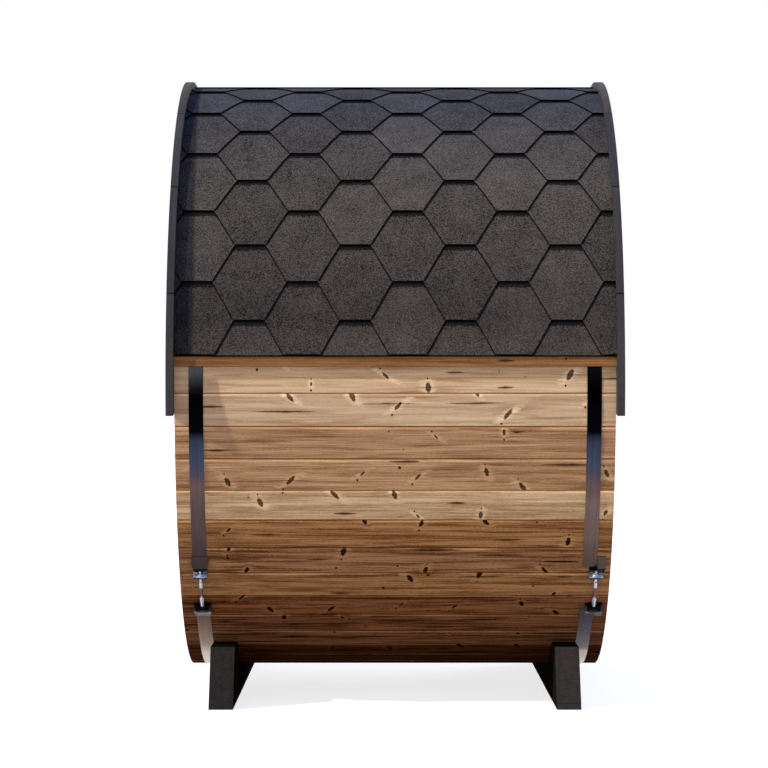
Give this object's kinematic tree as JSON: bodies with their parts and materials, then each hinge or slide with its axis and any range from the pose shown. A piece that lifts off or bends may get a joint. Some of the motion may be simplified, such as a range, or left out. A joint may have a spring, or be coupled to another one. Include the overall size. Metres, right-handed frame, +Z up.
{
  "type": "barrel sauna",
  "caption": "Outdoor sauna room built as a lying barrel of timber staves on cradles, bound by tensioned steel bands, with a shingled upper half and a plank door in its front end.",
  "frame": {"origin": "on the ground below the middle of the barrel", "axes": "+X along the barrel toward the door end, +Y toward the side away from the band tensioners, +Z up"},
  "size_m": [1.3826, 1.9994, 2.0255],
  "materials": {
    "black_stained_timber": "matte stain",
    "heat_treated_pine": "planed, bare",
    "dark_pine": "planed, bare",
    "band_steel": "rolled strip",
    "zinc_plated_steel": "zinc plated",
    "bitumen_shingle": "mineral granules",
    "charcoal_painted_timber": "satin paint"
  },
  "bodies": {
    "root": {"rear_cradle": "black_stained_timber", "front_cradle": "black_stained_timber", "staves_left_upper": "heat_treated_pine", "staves_top": "heat_treated_pine", "staves_right_upper": "heat_treated_pine", "staves_right_lower": "heat_treated_pine", "staves_bottom": "heat_treated_pine", "staves_left_lower": "heat_treated_pine", "rear_wall": "heat_treated_pine", "front_wall_left": "heat_treated_pine", "front_wall_right": "heat_treated_pine", "front_wall_over_door": "heat_treated_pine", "front_wall_under_door": "heat_treated_pine", "door_planks_outer": "heat_treated_pine", "door_jambs": "dark_pine", "door_head": "dark_pine", "door_sill": "dark_pine", "door_ledges": "dark_pine", "door_handle": "dark_pine", "roof_boards_left": "dark_pine", "roof_boards_top": "dark_pine", "roof_boards_right": "dark_pine", "rear_band": "band_steel", "rear_band_lugs": "band_steel", "front_band": "band_steel", "front_band_lugs": "band_steel", "door_hinges": "band_steel", "rear_band_pins": "zinc_plated_steel", "rear_band_nut": "zinc_plated_steel", "rear_band_rod": "zinc_plated_steel", "front_band_pins": "zinc_plated_steel", "front_band_nut": "zinc_plated_steel", "front_band_rod": "zinc_plated_steel", "shingles_left": "bitumen_shingle", "shingles_right": "bitumen_shingle", "rear_fascia": "charcoal_painted_timber", "front_fascia": "charcoal_painted_timber"}
  },
  "joints": []
}
